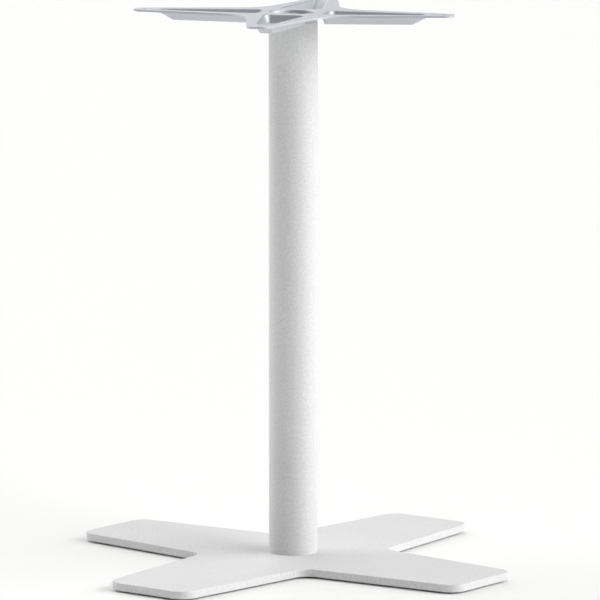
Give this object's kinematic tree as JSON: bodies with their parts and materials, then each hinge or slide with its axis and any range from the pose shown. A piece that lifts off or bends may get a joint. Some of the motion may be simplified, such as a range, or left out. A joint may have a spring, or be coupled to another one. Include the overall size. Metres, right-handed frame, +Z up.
{
  "type": "table base",
  "caption": "Pedestal table base with a flat cross-shaped steel foot, a round tube column and a pressed arm spider that carries the table top.",
  "frame": {"origin": "on the floor under the column's axis, at the centre of the foot plate's outline", "axes": "+Z up along the column; the foot plate's four arms point along the diagonals of X and Y; -Y is the side that the picture looks from"},
  "size_m": [0.5094, 0.5094, 0.72],
  "materials": {
    "white_powder_coat": "fine-textured white powder coat on steel",
    "grey_powder_coat": "smooth light powder coat on pressed steel",
    "bare_steel": "turned steel, oiled",
    "zinc_plated_steel": "bright zinc plate",
    "glide_plastic": "matt moulded polyethylene"
  },
  "bodies": {
    "root": {"base_plate": "white_powder_coat", "base_screws": "zinc_plated_steel", "column_tube": "white_powder_coat", "lower_disc": "bare_steel", "upper_disc": "bare_steel", "top_spider": "grey_powder_coat", "hub_washer": "zinc_plated_steel", "hub_bolt": "zinc_plated_steel", "glide_back_right": "glide_plastic", "glide_back_left": "glide_plastic", "glide_front_left": "glide_plastic", "glide_front_right": "glide_plastic"}
  },
  "joints": []
}
